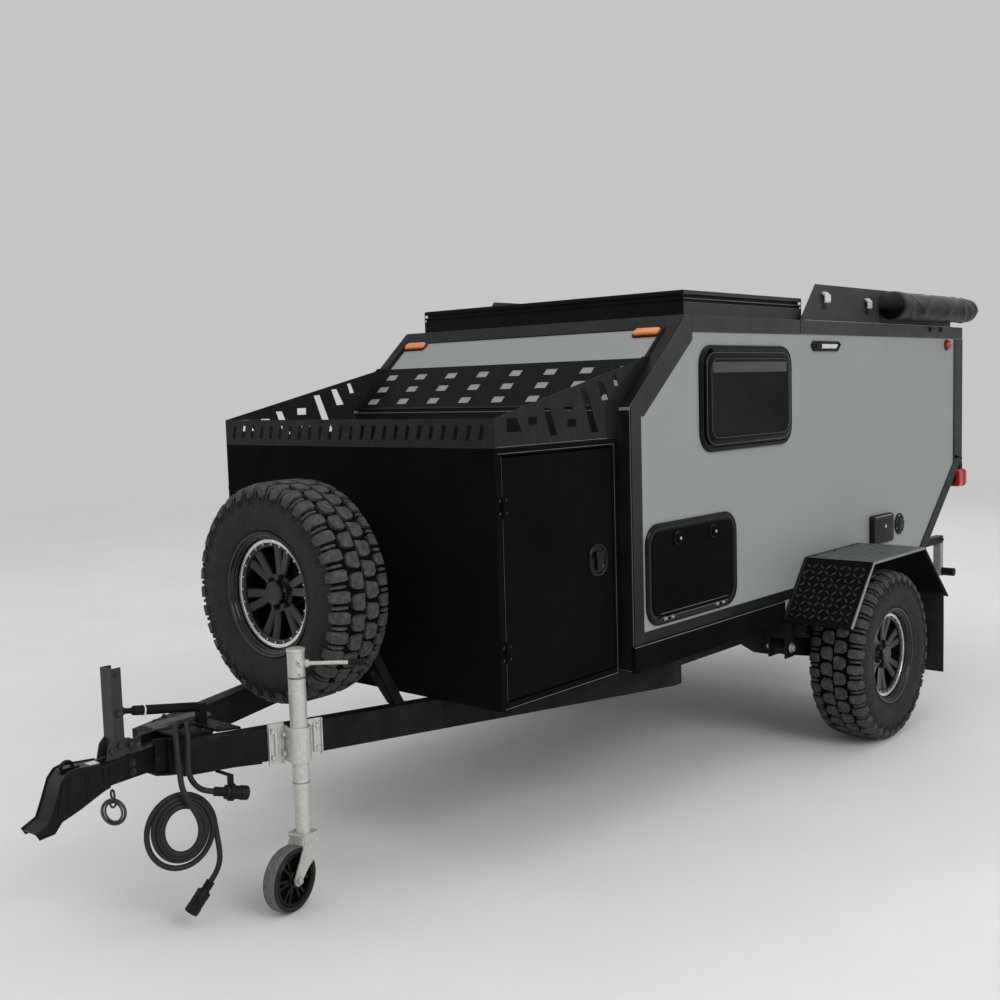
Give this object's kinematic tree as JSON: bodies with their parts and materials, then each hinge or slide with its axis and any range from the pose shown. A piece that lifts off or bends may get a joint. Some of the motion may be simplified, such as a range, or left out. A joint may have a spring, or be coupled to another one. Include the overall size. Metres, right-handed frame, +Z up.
{
  "type": "teardrop trailer",
  "caption": "Off-road teardrop trailer with a grey cabin, black toolbox, spare wheel on the drawbar, roof rack, rolled awning and jockey wheel.",
  "frame": {"origin": "on the ground under the middle of the trailer's overall box", "axes": "+Z up, +Y towards the tail, +X towards the trailer's left side"},
  "size_m": [2.074, 5.025, 1.965],
  "materials": {
    "black_steel": null,
    "dark_steel": null,
    "galvanised": null,
    "tyre_rubber": null,
    "black_plastic": null,
    "black_alloy": null,
    "black_panel": null,
    "grey_panel": null,
    "charcoal_panel": null,
    "tinted_acrylic": null,
    "birch_board": null,
    "black_aluminium": null,
    "black_cover": null,
    "spring_steel": null,
    "tread_plate": null,
    "flap_rubber": null,
    "amber_lens": null,
    "red_lens": null,
    "lead_rubber": null
  },
  "bodies": {
    "trailer": {"drawbar_beams": "black_steel", "chassis_frame": "black_steel", "tongue_plates": "black_steel", "coupler": "black_steel", "handbrake_lever": "dark_steel", "safety_chain": "galvanised", "jack_clamp": "galvanised", "jack_outer_tube": "galvanised", "jack_crank": "galvanised", "spare_tyre": "tyre_rubber", "spare_rim": "black_alloy", "spare_carrier": "dark_steel", "toolbox_body": "black_panel", "toolbox_guard": "black_steel", "slant_plate": "black_steel", "cabin_floor": "black_panel", "cabin_front": "grey_panel", "cabin_roof": "grey_panel", "cabin_tail_panel": "grey_panel", "cabin_wall_left": "grey_panel", "cabin_wall_right": "grey_panel", "window_left_frame": "black_plastic", "window_left_pane": "tinted_acrylic", "galley_boards": "birch_board", "roof_rack": "black_aluminium", "awning_plates": "black_aluminium", "awning_bag": "black_cover", "suspension_mounts": "black_steel", "suspension_arms": "black_steel", "coil_springs": "spring_steel", "fenders": "tread_plate", "mudflaps": "flap_rubber", "rear_bumper": "black_steel", "amber_markers": "amber_lens", "red_markers": "red_lens", "tail_lamps": "red_lens", "wall_fittings": "black_plastic", "lead_drop": "lead_rubber", "parked_lead": "lead_rubber", "lead_tail": "lead_rubber", "lead_coil": "lead_rubber", "lead_plug": "black_plastic", "parked_plug": "black_plastic", "lead_glands": "black_plastic", "plug_clip": "black_steel"},
    "toolbox_door_left": {"toolbox_door_left": "black_panel"},
    "toolbox_door_right": {"toolbox_door_right": "black_panel"},
    "luggage_hatch": {"luggage_hatch": "black_panel"},
    "entry_door": {"entry_door": "grey_panel", "door_window_frame": "black_plastic", "door_window_pane": "tinted_acrylic"},
    "galley_lid": {"galley_lid": "charcoal_panel"},
    "wheel_left": {"tyre_left": "tyre_rubber", "rim_left": "black_alloy"},
    "wheel_right": {"tyre_right": "tyre_rubber", "rim_right": "black_alloy"},
    "jack_leg": {"jack_inner_tube": "galvanised"},
    "jack_fork": {"jack_fork": "galvanised"},
    "jack_wheel": {"jack_tyre": "tyre_rubber", "jack_hub": "black_plastic"}
  },
  "joints": [
    {"name": "toolbox_door_left_hinge", "type": "hinge", "parent": "trailer", "child": "toolbox_door_left", "pos_m": [0.688, -1.2505, 0.9625], "axis": [0, 0, -1], "range_deg": [0, 115]},
    {"name": "toolbox_door_right_hinge", "type": "hinge", "parent": "trailer", "child": "toolbox_door_right", "pos_m": [-0.688, -1.2505, 0.9625], "axis": [0, 0, 1], "range_deg": [0, 115]},
    {"name": "luggage_hatch_hinge", "type": "hinge", "parent": "trailer", "child": "luggage_hatch", "pos_m": [0.731, -0.2375, 0.715], "axis": [0, 1, 0], "range_deg": [0, 95]},
    {"name": "entry_door_hinge", "type": "hinge", "parent": "trailer", "child": "entry_door", "pos_m": [-0.731, -0.2275, 1.19], "axis": [0, 0, 1], "range_deg": [0, 120]},
    {"name": "galley_lid_hinge", "type": "hinge", "parent": "trailer", "child": "galley_lid", "pos_m": [0, 2.4395, 1.75], "axis": [1, 0, 0], "range_deg": [0, 88]},
    {"name": "wheel_left_spin", "type": "hinge", "parent": "trailer", "child": "wheel_left", "pos_m": [0.9075, 0.8945, 0.3665], "axis": [1, 0, 0], "continuous": true},
    {"name": "wheel_right_spin", "type": "hinge", "parent": "trailer", "child": "wheel_right", "pos_m": [-0.9075, 0.8945, 0.3665], "axis": [1, 0, 0], "continuous": true},
    {"name": "jack_slide", "type": "slide", "parent": "trailer", "child": "jack_leg", "axis": [0, 0, 1], "range_m": [-0.12, 0.12]},
    {"name": "jack_swivel", "type": "hinge", "parent": "jack_leg", "child": "jack_fork", "pos_m": [0.283, -1.7637, 0.226], "axis": [0, 0, 1], "continuous": true},
    {"name": "jack_wheel_spin", "type": "hinge", "parent": "jack_fork", "child": "jack_wheel", "pos_m": [0.2955, -1.8346, 0.1], "axis": [0.9848, 0.1736, 0], "continuous": true}
  ]
}
